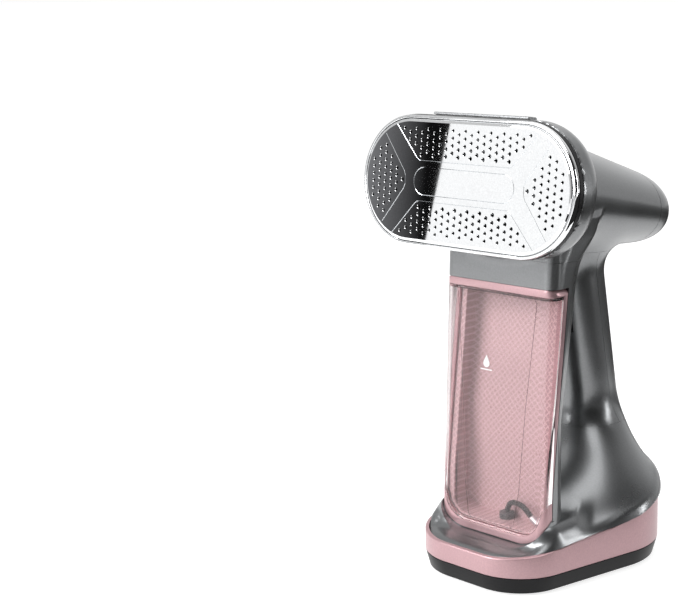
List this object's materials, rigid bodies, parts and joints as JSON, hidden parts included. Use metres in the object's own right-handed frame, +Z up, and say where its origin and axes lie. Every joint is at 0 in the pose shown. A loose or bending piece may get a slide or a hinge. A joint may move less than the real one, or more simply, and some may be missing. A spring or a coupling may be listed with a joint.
{
  "type": "garment steamer",
  "caption": "Upright handheld garment steamer: wide perforated steam head, tapering barrel, front water tank that slides out, loop handle with trigger, weighted base.",
  "frame": {"origin": "centre of the underside of the sole, on the surface the steamer stands on", "axes": "+Z up through the head, -Y towards the garment (the steam plate faces -Y), +X across the width"},
  "size_m": [0.1714, 0.1849, 0.2987],
  "materials": {
    "graphite": "metallic graphite paint, satin gloss",
    "rose": "metallic rose paint, satin gloss",
    "black": "black moulded plastic",
    "chrome": "mirror bright plate",
    "smoked": "translucent smoked plastic",
    "rubber": "black rubber",
    "steel": "zinc plated",
    "aluminium": "as cast",
    "moulding": "grey technical plastic",
    "board": "green circuit board",
    "copper": "sheathed element"
  },
  "bodies": {
    "housing": {"base_sole": "rubber", "base_plate": "black", "base_skirt": "rose", "base_shell": "graphite", "ballast_weight": "steel", "base_screw_1": "steel", "base_screw_2": "steel", "base_screw_3": "steel", "base_screw_4": "steel", "pump": "moulding", "pump_mount_front": "rubber", "pump_mount_rear": "rubber", "terminal_block": "moulding", "cord_gland": "rubber", "column_shell": "graphite", "steam_plate": "chrome", "plate_bezel": "chrome", "heat_ring": "black", "head_collar": "graphite", "accessory_catch": "graphite", "barrel_shell": "graphite", "rear_cap": "graphite", "handle_front_cover": "graphite", "handle_rear_shell": "graphite", "trigger_pin": "steel", "trigger_spring": "steel", "microswitch": "moulding", "indicator_ring": "smoked", "steam_chamber": "aluminium", "chamber_gasket": "rubber", "heating_element": "copper", "thermostat": "moulding", "thermal_fuse": "steel", "circuit_board": "board", "board_relay": "moulding", "riser_hose": "rubber", "feed_hose": "rubber"},
    "tank": {"tank_frame": "rose", "tank_shell": "smoked", "tank_back": "rose", "tank_valve": "moulding", "pickup_hose": "rubber", "pickup_weight": "steel"},
    "plug": {"fill_plug": "rubber"},
    "trigger": {"steam_trigger": "black"},
    "slider": {"lock_slider": "black"},
    "button": {"power_button": "black"}
  },
  "joints": [
    {"name": "tank_slide", "type": "slide", "parent": "housing", "child": "tank", "axis": [0, -1, 0], "range_m": [0, 0.045]},
    {"name": "plug_lift", "type": "slide", "parent": "tank", "child": "plug", "axis": [0, 0, 1], "range_m": [0, 0.007]},
    {"name": "trigger_pull", "type": "hinge", "parent": "housing", "child": "trigger", "pos_m": [0, 0.03033, 0.183], "axis": [1, 0, 0], "range_deg": [0, 7], "stiffness_Nm_per_rad": 0.6, "springref_deg": -2.86},
    {"name": "lock_slide", "type": "slide", "parent": "housing", "child": "slider", "axis": [0, -0.1867, 0.9824], "range_m": [0, 0.006]},
    {"name": "button_press", "type": "slide", "parent": "housing", "child": "button", "axis": [0, -1, 0], "range_m": [0, 0.0015], "stiffness_N_per_m": 900, "springref_m": -0.0004}
  ]
}
